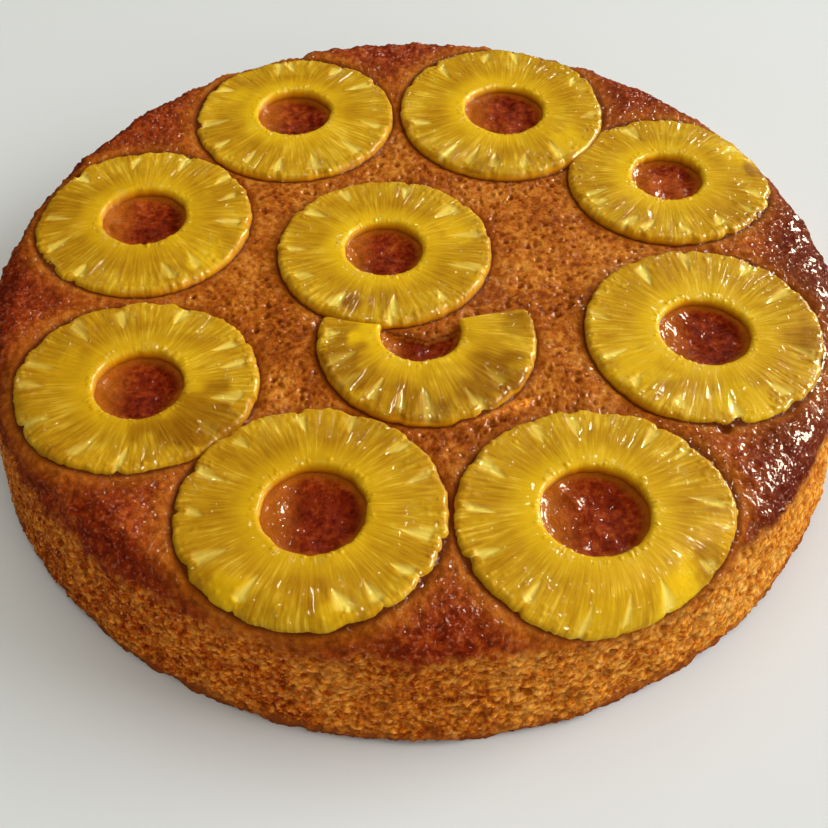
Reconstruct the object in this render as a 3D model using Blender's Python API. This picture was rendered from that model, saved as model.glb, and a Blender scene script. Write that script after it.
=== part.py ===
"""Pineapple upside-down cake, whole and round, as a Blender model.

A butter sponge with its fruit side up. Nine whole pineapple rings and part of a tenth are
baked into its top, so that their upper faces show and bend down over the shoulder at the rim.
Units are metres, +Z is up, and the origin is the centre of the flat underside.
"""

import math

import bmesh
import bpy
import numpy as np
from mathutils import Vector, noise

MM = 0.001

# Body of the cake: a flat top, a quarter-ellipse shoulder and a side that widens to its foot
TOP_HEIGHT = 46 * MM
SIDE_RADIUS = 138.2 * MM
SHOULDER_RUN = 12.9 * MM
SHOULDER_DROP = 16.6 * MM
FOOT_FLARE = 4.2 * MM
FLAT_RADIUS = SIDE_RADIUS - SHOULDER_RUN
SIDE_HEIGHT = TOP_HEIGHT - SHOULDER_DROP

# How far the crumb lies below the upper faces of the fruit: low in the middle, mounded at the rim
MIDDLE_DEPTH = 4.0 * MM
RIM_DEPTH = 0.2 * MM
MOUND_START = 84 * MM
MOUND_FULL = 112 * MM

# The dome of crumb in each core hole, and the shares of the hole's radius where it fades out
WELL_EDGE_DEPTH = 6.0 * MM
WELL_CROWN_DEPTH = 2.6 * MM
WELL_FADE = (1.1, 1.7)

# Unevenness of the baked crumb
TOP_CRAG = 0.7 * MM
SIDE_CRAG = 1.5 * MM
CRAG_LENGTH = 9 * MM
FOOT_CRAG = 1.2 * MM
FOOT_CRAG_LENGTH = 4 * MM

# Pineapple slices
SLICE_THICKNESS = 9.0 * MM
EDGE_DROP = 1.5 * MM
EDGE_INSET = 1.7 * MM
SCALLOP_DEPTH = 1.1 * MM
SCALLOP_EVERY = 3
STEPS_ROUND_SLICE = 33

# Share of the shoulder's tilt that a slice's cut edges follow
SLICE_LEAN = 0.45

# Room left round each slice, and how far its cutter reaches above the top
SLICE_GAP = 0.45 * MM
POCKET_LIFT = 9.0 * MM

# Mesh density of the sponge
STEPS_ROUND_CAKE = 84
TOP_ROWS = 14
SHOULDER_ROWS = 4
SIDE_ROWS = 4

# Finishes, as linear colour and roughness
CRUMB_COLOUR = (0.36, 0.10, 0.015)
CRUMB_ROUGHNESS = 0.55
FRUIT_COLOUR = (0.60, 0.36, 0.01)
FRUIT_ROUGHNESS = 0.25
FRUIT_SHADE_STEP = 0.02
SMOOTH_BELOW = math.radians(40)

# Quarter-ellipse table: arc length along the shoulder against its parameter angle
SHOULDER_ANGLE = np.linspace(0.0, math.pi / 2, 91)
SHOULDER_STEP = np.hypot(
    np.diff(SHOULDER_RUN * np.sin(SHOULDER_ANGLE)),
    np.diff(SHOULDER_DROP * np.cos(SHOULDER_ANGLE)),
)
SHOULDER_ARC = np.concatenate([[0.0], np.cumsum(SHOULDER_STEP)])
SHOULDER_LENGTH = SHOULDER_ARC[-1]


class Slice:
    """One pineapple ring, in millimetres on the flattened top of the cake.

    x and y are its middle, width and depth its outer widths along X and Y, hole the width of
    its core hole and shift how far the hole lies off the middle. phase turns its scallops.
    cut gives the first and last angle in degrees of a slice that is not a whole ring.
    """

    def __init__(self, name, x, y, width, depth, hole, shift, phase, cut=None):
        self.name = name
        self.middle = np.array([x, y]) * MM
        self.radii = np.array([width, depth]) * MM / 2
        self.hole = hole * MM / 2
        self.hole_middle = self.middle + np.array(shift) * MM
        self.phase = phase
        self.cut = cut


SLICES = [
    Slice("centre", -10.3, 9.0, 70.6, 70.0, 25.4, (-0.3, -0.3), 1),
    Slice("front_left", -28.4, -96.7, 74.8, 72.8, 29.0, (0.5, 0.8), 0),
    Slice("front_right", 48.6, -98.0, 77.6, 74.6, 29.8, (-0.3, 1.7), 2),
    Slice("right", 88.5, -29.2, 73.2, 73.6, 27.8, (0.3, 0.1), 1),
    Slice("back_right", 88.2, 45.6, 70.0, 66.4, 24.4, (-0.5, 0.7), 0),
    Slice("back_middle", 31.7, 85.9, 74.8, 79.2, 28.8, (1.1, -0.2), 2),
    Slice("back_left", -44.6, 81.9, 72.4, 72.4, 26.6, (-0.3, 1.5), 1),
    Slice("left", -91.5, 23.7, 72.0, 72.4, 28.0, (-0.2, 1.2), 0),
    Slice("left_front", -83.1, -50.0, 73.2, 67.8, 26.2, (1.2, -0.9), 2),
    Slice("part", 3.2, -31.6, 67.6, 68.0, 24.8, (-1.9, 2.4), 1, cut=(163.0, 383.0)),
]
SLICE_BY_NAME = {piece.name: piece for piece in SLICES}

# Where two slices meet, the first one is trimmed to make room for the second
TRIMS = [
    ("left_front", "front_left"),
    ("back_right", "back_middle"),
    ("part", "centre"),
    ("part", "front_left"),
]


def crest(arc):
    """Radius, height and tilt of the fruit-top surface, by arc length from the axis."""
    on_shoulder = np.clip(arc - FLAT_RADIUS, 0.0, SHOULDER_LENGTH)
    angle = np.interp(on_shoulder, SHOULDER_ARC, SHOULDER_ANGLE)
    down_side = np.clip((arc - FLAT_RADIUS - SHOULDER_LENGTH) / SIDE_HEIGHT, 0.0, 1.0)
    radius = np.minimum(arc, FLAT_RADIUS) + SHOULDER_RUN * np.sin(angle) + FOOT_FLARE * down_side
    height = TOP_HEIGHT - SHOULDER_DROP * (1.0 - np.cos(angle)) - SIDE_HEIGHT * down_side
    tilt = np.arctan2(SHOULDER_DROP * np.sin(angle), SHOULDER_RUN * np.cos(angle))
    return radius, height, tilt


def drape(x, y, depth, lean=1.0):
    """Lay flat points over the cake, each this deep below the fruit-top surface.

    The depth runs along the surface's normal, or along a share of its tilt where lean is below 1.
    """
    arc = np.maximum(np.hypot(x, y), 1e-9)
    radius, height, tilt = crest(arc)
    radius = radius - depth * np.sin(lean * tilt)
    height = height - depth * np.cos(lean * tilt)
    return np.stack([radius * x / arc, radius * y / arc, height], axis=-1)


def smooth_step(value, start, full):
    """0 below start, 1 above full, with a smooth rise between them."""
    t = np.clip((value - start) / (full - start), 0.0, 1.0)
    return t * t * (3.0 - 2.0 * t)


def crumb_depth(x, y):
    """Depth of the crumb below the fruit tops, with its rim mounds and the domes in the holes."""
    mound = smooth_step(np.hypot(x, y), MOUND_START, MOUND_FULL)
    depth = MIDDLE_DEPTH + (RIM_DEPTH - MIDDLE_DEPTH) * mound
    for piece in SLICES:
        out = np.hypot(x - piece.hole_middle[0], y - piece.hole_middle[1]) / piece.hole
        bowl = np.clip(out, 0.0, 1.0) ** 2
        dome = WELL_CROWN_DEPTH + (WELL_EDGE_DEPTH - WELL_CROWN_DEPTH) * bowl
        inside = 1.0 - smooth_step(out, *WELL_FADE)
        depth = depth * (1.0 - inside) + dome * inside
    return depth


def add_material(name, colour, roughness):
    """A plain Principled finish."""
    material = bpy.data.materials.new(name)
    material.use_nodes = True
    shader = material.node_tree.nodes["Principled BSDF"]
    shader.inputs["Base Color"].default_value = (*colour, 1.0)
    shader.inputs["Roughness"].default_value = roughness
    shader.inputs["Metallic"].default_value = 0.0
    material.diffuse_color = (*colour, 1.0)
    return material


def finish_mesh(obj, material):
    """Smooth shading with its sharp edges kept, in one material."""
    obj.data.shade_smooth()
    obj.data.set_sharp_from_angle(angle=SMOOTH_BELOW)
    obj.data.materials.clear()
    obj.data.materials.append(material)


def add_object(name, points, faces):
    """A mesh object from points and faces, with its faces turned outwards."""
    mesh = bpy.data.meshes.new(name)
    mesh.from_pydata([tuple(point) for point in points], [], faces)
    build = bmesh.new()
    build.from_mesh(mesh)
    bmesh.ops.recalc_face_normals(build, faces=build.faces)
    build.to_mesh(mesh)
    build.free()
    obj = bpy.data.objects.new(name, mesh)
    bpy.context.scene.collection.objects.link(obj)
    return obj


def slice_profile(spare, lift):
    """Points across a slice from core hole to rim, as (share of its width, inset, depth).

    A slice has a rounded upper edge at both sides. A cutter, with lift above 0, runs on upwards.
    """
    bottom = SLICE_THICKNESS + spare
    if lift > 0.0:
        top = [(0.0, 0.0, -lift), (0.5, 0.0, -lift), (1.0, 0.0, -lift)]
    else:
        top = [(0.0, EDGE_INSET, 0.0), (0.5, 0.0, 0.0), (1.0, -EDGE_INSET, 0.0)]
    core_side = [(0.0, 0.0, bottom), (0.0, 0.0, EDGE_DROP)]
    rim_side = [(1.0, 0.0, EDGE_DROP), (1.0, 0.0, bottom)]
    return core_side + top + rim_side


def slice_angles(piece, spare):
    """Angles of the profiles round a slice; the two ends of a cut slice get the spare too."""
    if not piece.cut:
        return np.arange(STEPS_ROUND_SLICE) * math.tau / STEPS_ROUND_SLICE
    widening = spare / piece.hole
    first = math.radians(piece.cut[0]) - widening
    last = math.radians(piece.cut[1]) + widening
    return np.linspace(first, last, round(STEPS_ROUND_SLICE * (last - first) / math.tau) + 1)


def add_slice(name, piece, spare=0.0, lift=0.0):
    """A slice as an object; spare widens it on every side, and lift carries its top up."""
    profile = slice_profile(spare, lift)
    across = len(profile)
    angles = slice_angles(piece, spare)
    rows = len(angles)
    points = []
    for row, angle in enumerate(angles):
        notched = lift == 0.0 and (row + piece.phase) % SCALLOP_EVERY == 0
        notch = SCALLOP_DEPTH if notched else 0.0
        ray = np.array([math.cos(angle), math.sin(angle)])
        inner = piece.hole_middle + ray * (piece.hole - spare)
        outer = piece.middle + ray * (piece.radii + spare - notch)
        for share, inset, depth in profile:
            spot = inner + (outer - inner) * share + ray * inset
            points.append(drape(spot[0], spot[1], depth, SLICE_LEAN))
    faces = []
    for row in range(rows - 1 if piece.cut else rows):
        here = row * across
        there = (row + 1) % rows * across
        for k in range(across):
            after = (k + 1) % across
            faces.append((here + k, there + k, there + after))
            faces.append((here + k, there + after, here + after))
    if piece.cut:
        faces.append(tuple(range(across)))
        faces.append(tuple(reversed(range((rows - 1) * across, rows * across))))
    return add_object(name, points, faces)


def subtract(target, cutters):
    """Cut every one of the cutters out of the target, then remove them."""
    group = bpy.data.collections.new("cutters")
    bpy.context.scene.collection.children.link(group)
    for cutter in cutters:
        bpy.context.scene.collection.objects.unlink(cutter)
        group.objects.link(cutter)
        cutter.hide_render = True
        cutter.display_type = "WIRE"
    modifier = target.modifiers.new("cut", "BOOLEAN")
    modifier.operation = "DIFFERENCE"
    modifier.operand_type = "COLLECTION"
    modifier.collection = group
    modifier.solver = "EXACT"
    bpy.context.view_layer.update()
    graph = bpy.context.evaluated_depsgraph_get()
    cut_mesh = bpy.data.meshes.new_from_object(target.evaluated_get(graph))
    target.modifiers.clear()
    target.data = cut_mesh
    for cutter in cutters:
        bpy.data.objects.remove(cutter, do_unlink=True)
    bpy.data.collections.remove(group)


def add_pineapple():
    """Every slice in its own node, trimmed where it meets a neighbour."""
    rings = {}
    for piece in SLICES:
        rings[piece.name] = add_slice("pineapple_ring_" + piece.name, piece)
    for trimmed, neighbour in TRIMS:
        room = add_slice("room", SLICE_BY_NAME[neighbour], SLICE_GAP, POCKET_LIFT)
        subtract(rings[trimmed], [room])
    for number, (name, ring) in enumerate(rings.items()):
        shade = 1.0 - FRUIT_SHADE_STEP * (number % 4)
        colour = tuple(shade * channel for channel in FRUIT_COLOUR)
        finish_mesh(ring, add_material("baked_pineapple_" + name, colour, FRUIT_ROUGHNESS))


def sponge_arcs():
    """Arc lengths of the sponge's rows, from just off the axis to the foot."""
    top = np.linspace(0.0, FLAT_RADIUS, TOP_ROWS + 1)[1:]
    shoulder = FLAT_RADIUS + SHOULDER_LENGTH * np.arange(1, SHOULDER_ROWS + 1) / SHOULDER_ROWS
    side = shoulder[-1] + SIDE_HEIGHT * np.arange(1, SIDE_ROWS + 1) / SIDE_ROWS
    return np.concatenate([top, shoulder, side])


def sponge_row(arc, at_foot):
    """Points of the sponge round the axis at one arc length, lifted and sunk by its crags."""
    angles = np.arange(STEPS_ROUND_CAKE) * math.tau / STEPS_ROUND_CAKE
    on_side = smooth_step(arc, FLAT_RADIUS, FLAT_RADIUS + SHOULDER_LENGTH)
    crag_size = TOP_CRAG + (SIDE_CRAG - TOP_CRAG) * float(on_side)
    points = []
    for x, y in zip(arc * np.cos(angles), arc * np.sin(angles)):
        depth = float(crumb_depth(x, y))
        even = Vector(drape(x, y, depth))
        depth -= crag_size * noise.noise(even / CRAG_LENGTH)
        if at_foot:
            depth += FOOT_CRAG * abs(noise.noise(even / FOOT_CRAG_LENGTH))
        point = drape(x, y, depth)
        if at_foot:
            point[2] = 0.0
        points.append(point)
    return points


def add_sponge():
    """The sponge: a round grid over top, shoulder and side, closed by a flat underside."""
    arcs = sponge_arcs()
    points = [drape(0.0, 0.0, float(crumb_depth(0.0, 0.0)))]
    for row, arc in enumerate(arcs):
        points += sponge_row(arc, row == len(arcs) - 1)
    points.append(np.zeros(3))
    faces = []
    first_of_foot = 1 + (len(arcs) - 1) * STEPS_ROUND_CAKE
    for k in range(STEPS_ROUND_CAKE):
        after = (k + 1) % STEPS_ROUND_CAKE
        faces.append((0, 1 + k, 1 + after))
        for upper in range(1, first_of_foot, STEPS_ROUND_CAKE):
            lower = upper + STEPS_ROUND_CAKE
            faces.append((upper + k, lower + k, lower + after, upper + after))
        faces.append((first_of_foot + k, len(points) - 1, first_of_foot + after))
    sponge = add_object("sponge", points, faces)
    pockets = [add_slice("pocket", piece, SLICE_GAP, POCKET_LIFT) for piece in SLICES]
    subtract(sponge, pockets)
    finish_mesh(sponge, add_material("caramelled_sponge", CRUMB_COLOUR, CRUMB_ROUGHNESS))


def main():
    for obj in list(bpy.data.objects):
        bpy.data.objects.remove(obj, do_unlink=True)
    add_pineapple()
    add_sponge()


main()
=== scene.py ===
# %% [markdown]
# Pineapple upside-down cake. The cake is baked with its fruit at the bottom of a sugared tin and
# then turned over, so wet golden rings lie in a caramelled top that rounds down to a crumb side.
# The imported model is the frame: it gives the places and sizes, and every piece below is a finer
# surface that stands for one of its nodes.

# %% Load the frame and note its box
import math

import bpy
import numpy as np
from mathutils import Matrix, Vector


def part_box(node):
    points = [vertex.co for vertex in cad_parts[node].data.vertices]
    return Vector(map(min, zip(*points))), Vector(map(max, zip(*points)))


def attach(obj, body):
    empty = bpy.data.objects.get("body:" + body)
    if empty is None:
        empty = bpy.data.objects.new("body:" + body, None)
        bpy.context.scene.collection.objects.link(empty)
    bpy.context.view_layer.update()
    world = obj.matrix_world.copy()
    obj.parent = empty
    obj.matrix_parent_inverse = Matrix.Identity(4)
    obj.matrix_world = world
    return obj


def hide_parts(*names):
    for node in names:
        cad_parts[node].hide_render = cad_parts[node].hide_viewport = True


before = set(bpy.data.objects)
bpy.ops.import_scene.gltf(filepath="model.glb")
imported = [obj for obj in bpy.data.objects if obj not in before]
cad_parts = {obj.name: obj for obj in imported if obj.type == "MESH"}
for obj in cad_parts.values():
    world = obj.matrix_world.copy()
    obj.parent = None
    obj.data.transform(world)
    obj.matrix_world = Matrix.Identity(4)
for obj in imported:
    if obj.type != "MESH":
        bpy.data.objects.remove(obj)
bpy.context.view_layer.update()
MM = 0.001

# %% [markdown]
# Light and camera come first, because every colour is judged in them. The cake stands on a pale
# table beside a window: one broad soft light low on the right, a dimmer one from the ceiling, a
# weak fill from the front and a faint, even room. Wet caramel shows a window as small hard
# sparkles, so three bright panes are seen in reflections alone. The broad lights and the room
# would lay a milky veil over the fruit, so reflections don't show them.

# %% Camera
CAMERA_PLACE = (-0.674 * MM, -278.243 * MM, 300.825 * MM)
CAMERA_DOWN = math.radians(49.777)
CAMERA_LENS = 50.379
CAMERA_SENSOR = 36.0
CAMERA_NEAR = 0.01

camera = bpy.data.objects.new("camera", bpy.data.cameras.new("camera"))
bpy.context.scene.collection.objects.link(camera)
camera.location = CAMERA_PLACE
camera.rotation_euler = (math.pi / 2 - CAMERA_DOWN, 0.0, 0.0)
camera.data.lens = CAMERA_LENS
camera.data.sensor_width = CAMERA_SENSOR
camera.data.clip_start = CAMERA_NEAR
bpy.context.scene.camera = camera
bpy.context.scene.view_settings.view_transform = "Standard"
print("camera looks down", round(math.degrees(CAMERA_DOWN), 1), "degrees")


# %% Colour and node helpers
def colour(code):
    """A linear colour from an sRGB hex code: low values are divided, others raised to 2.4."""
    channels = np.array([int(code[k:k + 2], 16) / 255.0 for k in (1, 3, 5)])
    low = channels / 12.92
    high = ((channels + 0.055) / 1.055) ** 2.4
    return (*np.where(channels <= 0.04045, low, high).tolist(), 1.0)


def add(tree, kind, values=None, links=None, stops=None, **options):
    """Add one node: options are its settings, values fill its sockets and links join them.

    Each link is socket: (node, output). Stops are (place, hex colour) pairs of a colour ramp. A
    value in quotes is a hex colour, and a Mix node whose socket 6 or 7 is used mixes colours.
    """
    node = tree.nodes.new("ShaderNode" + kind)
    if {6, 7} & {*(values or {}), *(links or {})}:
        node.data_type = "RGBA"
    for name, option in options.items():
        setattr(node, name, option)
    for socket, value in (values or {}).items():
        node.inputs[socket].default_value = colour(value) if isinstance(value, str) else value
    for socket, (source, output) in (links or {}).items():
        tree.links.new(source.outputs[output], node.inputs[socket])
    if stops:
        steps = node.color_ramp.elements
        while len(steps) < len(stops):
            steps.new(1.0)
        for step, (place, code) in zip(steps, stops):
            step.position = place
            step.color = colour(code)
    return node


def new_material(name):
    """An empty node material with its output, ready for a shader."""
    material = bpy.data.materials.new(name)
    material.use_nodes = True
    material.node_tree.nodes.clear()
    tree = material.node_tree
    return material, tree, add(tree, "OutputMaterial")


print("mid grey in linear light:", round(colour("#808080")[0], 3))


# %% Lights and room
# Each light has a name, a place and a size in metres, a power in watts, a tint, and True if only
# reflections show it.
PANE = ((0.42, 0.5), 30.0, "#fff0d4", True)
LIGHTS = (
    ("window", (2.66, 0.43, 1.52), (2.4, 1.7), 101.0, "#f6f9ff", False),
    ("ceiling", (0.1, 0.3, 1.9), (2.0, 2.0), 18.5, "#fefdf4", False),
    ("room_fill", (0.9, -1.7, 0.7), (1.4, 1.0), 12.0, "#fffdf8", False),
    ("window_pane_0", (1.62, 0.62, 0.86), *PANE),
    ("window_pane_1", (1.72, 0.16, 1.02), *PANE),
    ("window_pane_2", (1.36, 1.02, 0.92), *PANE),
)
ROOM_COLOUR = "#fcfaf4"
ROOM_STRENGTH = 0.22
LIGHT_TARGET = (0.0, 0.0, 0.03)


def add_light(name, place, size, power, tint, in_reflections):
    """A rectangle of light that faces the cake, seen in reflections alone or by all but them."""
    data = bpy.data.lights.new(name, "AREA")
    data.shape = "RECTANGLE"
    data.size, data.size_y = size
    data.energy = power
    data.color = colour(tint)[:3]
    light = bpy.data.objects.new(name, data)
    light.location = place
    towards = Vector(LIGHT_TARGET) - Vector(place)
    light.rotation_euler = towards.to_track_quat("-Z", "Y").to_euler()
    light.visible_glossy = in_reflections
    light.visible_diffuse = not in_reflections
    bpy.context.scene.collection.objects.link(light)


for light in LIGHTS:
    add_light(*light)

world = bpy.data.worlds.new("room")
bpy.context.scene.world = world
world.use_nodes = True
world.node_tree.nodes.clear()
air = add(world.node_tree, "Background", {"Color": ROOM_COLOUR, "Strength": ROOM_STRENGTH})
add(world.node_tree, "OutputWorld", links={"Surface": (air, "Background")})
world.cycles_visibility.glossy = False
print("lights:", ", ".join(light[0] for light in LIGHTS))

# %% [markdown]
# The cake's body is a shape of revolution: a flat top, a quarter-ellipse shoulder and a side that
# widens a little to its foot. Everything that lies on it is laid out flat first, as on paper, and
# then draped: a flat point at some distance from the middle goes the same distance along the
# body's outline. This keeps the rings round and lets them bend over the shoulder at the rim.

# %% Body outline and draping, in millimetres
FRUIT_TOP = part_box("pineapple_ring_centre")[1].z / MM
SIDE_RADIUS = 138.2
SHOULDER_RUN = 12.9
SHOULDER_DROP = 16.6
FOOT_FLARE = 4.2
FLAT_RADIUS = SIDE_RADIUS - SHOULDER_RUN
SIDE_HEIGHT = FRUIT_TOP - SHOULDER_DROP

SHOULDER_ANGLE = np.linspace(0.0, math.pi / 2, 181)
SHOULDER_ARC = np.concatenate([[0.0], np.cumsum(np.hypot(
    np.diff(SHOULDER_RUN * np.sin(SHOULDER_ANGLE)),
    np.diff(SHOULDER_DROP * np.cos(SHOULDER_ANGLE)),
))])
SHOULDER_LENGTH = SHOULDER_ARC[-1]


def drape(x, y, depth, lean=1.0):
    """Points on the cake from flat ones, each this deep below the fruit-top surface.

    The arc length from the middle gives a radius and a height on the outline: straight, then a
    quarter ellipse, then the flared side. The depth runs inwards along the outline's normal, or
    along a share of its tilt where lean is below 1.
    """
    arc = np.maximum(np.hypot(x, y), 1e-6)
    angle = np.interp(arc - FLAT_RADIUS, SHOULDER_ARC, SHOULDER_ANGLE)
    down_side = np.clip((arc - FLAT_RADIUS - SHOULDER_LENGTH) / SIDE_HEIGHT, 0.0, 1.0)
    radius = np.minimum(arc, FLAT_RADIUS) + SHOULDER_RUN * np.sin(angle) + FOOT_FLARE * down_side
    height = FRUIT_TOP - SHOULDER_DROP * (1.0 - np.cos(angle)) - SIDE_HEIGHT * down_side
    tilt = lean * np.arctan2(SHOULDER_DROP * np.sin(angle), SHOULDER_RUN * np.cos(angle))
    radius = radius - depth * np.sin(tilt)
    height = height - depth * np.cos(tilt)
    return np.stack([radius * x / arc, radius * y / arc, height], axis=-1)


def smooth_step(value, start, full):
    """0 before start, 1 beyond full, and a smooth rise of 3t^2 - 2t^3 between them."""
    t = np.clip((value - start) / (full - start), 0.0, 1.0)
    return t * t * (3.0 - 2.0 * t)


print("shoulder is", round(float(SHOULDER_LENGTH), 1), "mm long")

# %% [markdown]
# Crumb, caramel and fruit are all uneven, so they need random but repeatable relief. Two kinds
# cover them: a swell, which rises and falls softly, and cells, which split space into bubbles.
# Both are worked out from a lattice of scrambled whole numbers, for whole arrays at once.


# %% Repeatable unevenness
# Radius of the smallest open bubble and how much wider the widest is, in cube widths.
PIT_RADIUS = 0.22
PIT_SPREAD = 0.34
# Mean height of a grain as a share of its full height, and a crevice's two ends in cube widths.
GRAIN_MEAN = 0.45
CREVICE_FLOOR = 0.02
CREVICE_RIM = 0.3
def scrambled(lattice, seed):
    """A number from 0 to 1 for each lattice point: multiply, shift and fold its coordinates."""
    mixed = np.full(lattice.shape[:-1], (seed * 2654435761) % 2 ** 32, dtype=np.uint32)
    whole = lattice.astype(np.int64).astype(np.uint32)
    for axis in range(lattice.shape[-1]):
        mixed = (mixed ^ whole[..., axis]) * np.uint32(2246822519)
        mixed = mixed ^ (mixed >> np.uint32(15))
        mixed = mixed * np.uint32(3266489917)
        mixed = mixed ^ (mixed >> np.uint32(13))
    return mixed / 2.0 ** 32


def swell(points, size, seed):
    """Soft noise from -1 to 1: random values at cube corners of this size, smoothly blended."""
    place = points / size
    corner_point = np.floor(place)
    part = place - corner_point
    part = part * part * (3.0 - 2.0 * part)
    total = np.zeros(points.shape[:-1])
    for corner in np.ndindex(2, 2, 2):
        weight = np.where(corner, part, 1.0 - part).prod(axis=-1)
        total += weight * scrambled(corner_point + corner, seed)
    return 2.0 * total - 1.0


def bubbles(points, size, seed):
    """Cell noise: one random spot for each cube of this size.

    Gives the distance to the nearest spot, how much further the second one is, both in cube
    widths, and a random number from 0 to 1 that belongs to the nearest spot.
    """
    place = points / size
    home = np.floor(place)
    nearest = np.full(points.shape[:-1], 9.0)
    second = nearest.copy()
    own = np.zeros_like(nearest)
    for step in np.ndindex(3, 3, 3):
        cube = home + step - 1.0
        spot = cube + np.stack([scrambled(cube, seed + k) for k in range(3)], axis=-1)
        gap = np.linalg.norm(place - spot, axis=-1)
        closer = gap < nearest
        second = np.where(closer, nearest, np.minimum(second, gap))
        own = np.where(closer, scrambled(cube, seed + 3), own)
        nearest = np.where(closer, gap, nearest)
    return nearest, second - nearest, own


def pits(points, size, depth, least, seed):
    """Open bubbles or beads: round dips about a random spot of each cube, of random width.

    The dip is a paraboloid, 1 - (gap / radius)^2, and bubbles whose number is below least are
    left out. Gives the depth in mm and the same as a share from 0 to 1.
    """
    gap, _, own = bubbles(points, size, seed)
    radius = PIT_RADIUS + PIT_SPREAD * (own - least) / (1.0 - least)
    share = np.where(own > least, np.clip(1.0 - (gap / radius) ** 2, 0.0, 1.0), 0.0)
    return depth * share, share


def lumps(points, size, height, seed):
    """Crumb grains: each cell bulges as the root of the way in from its borders.

    Gives the height in mm and, from 0 to 1, how deep each point lies in a crevice between cells.
    """
    _, border, _ = bubbles(points, size, seed)
    bulge = np.sqrt(np.clip(border, 0.0, 1.0)) - GRAIN_MEAN
    return height * bulge, 1.0 - smooth_step(border, CREVICE_FLOOR, CREVICE_RIM)


print("swell test:", round(float(swell(np.array([[1.5, 2.5, 3.5]]), 2.0, 1)[0]), 3))


# %% Mesh maker
def add_piece(name, points, faces, nodes, material, marks):
    """A mesh piece from points in mm and faces, with a named mark (attribute) for each point.

    It rides on the cake's one body and stands for the named nodes of the frame.
    """
    mesh = bpy.data.meshes.new(name)
    mesh.from_pydata(points * MM, [], faces)
    mesh.shade_smooth()
    for mark, values in marks.items():
        kind, field = ("FLOAT_VECTOR", "vector") if values.ndim == 2 else ("FLOAT", "value")
        attribute = mesh.attributes.new(mark, kind, "POINT")
        attribute.data.foreach_set(field, values.astype(np.float32).ravel())
    mesh.materials.append(material)
    piece = bpy.data.objects.new(name, mesh)
    bpy.context.scene.collection.objects.link(piece)
    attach(piece, "root")
    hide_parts(*nodes)
    print(name, "has", len(faces), "faces")
    return piece


def grid_faces(rows, columns, closed_rows, closed_columns):
    """Quads of a grid whose points run column by column inside each row."""
    row = np.arange(rows if closed_rows else rows - 1)[:, None]
    column = np.arange(columns if closed_columns else columns - 1)[None, :]
    next_row = (row + 1) % rows
    next_column = (column + 1) % columns
    corners = [row * columns + column, row * columns + next_column,
               next_row * columns + next_column, next_row * columns + column]
    return np.stack(corners, axis=-1).reshape(-1, 4)


# %% [markdown]
# Nine whole rings and one part ring of pineapple. A tinned ring is a slice across the fruit: its
# fibres run outwards from the core hole, and near the rim they end in pale wedges, the traces of
# the fruit's eyes. No two rings are the same width, so each one is listed with its own sizes, the
# angles of its wedges as the real one shows them, and the spots where caramel has stained it.


# %% The rings' sizes
class Slice:
    """One ring, in millimetres on the flattened top of the cake.

    x and y are its middle, width and depth its outer widths along X and Y, hole the width of
    its core hole and shift how far the hole lies off the middle. wedges are the angles of its
    pale wedges. Each stain, and each lit patch, painted light where light comes through the
    flesh, is (angle, share of the way to the rim, reach in mm, strength). cut gives the first
    and last angle of a ring that isn't whole, and under names the rings that lie over its edge.
    """

    def __init__(self, name, x, y, width, depth, hole, shift, wedges, stains, lit, cut=None, under=()):
        self.name = name
        self.middle = np.array([x, y])
        self.radii = np.array([width, depth]) / 2
        self.hole = hole / 2
        self.hole_middle = self.middle + np.array(shift)
        self.wedges = wedges
        self.stains = stains
        self.lit = lit
        self.cut = cut
        self.under = under


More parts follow.
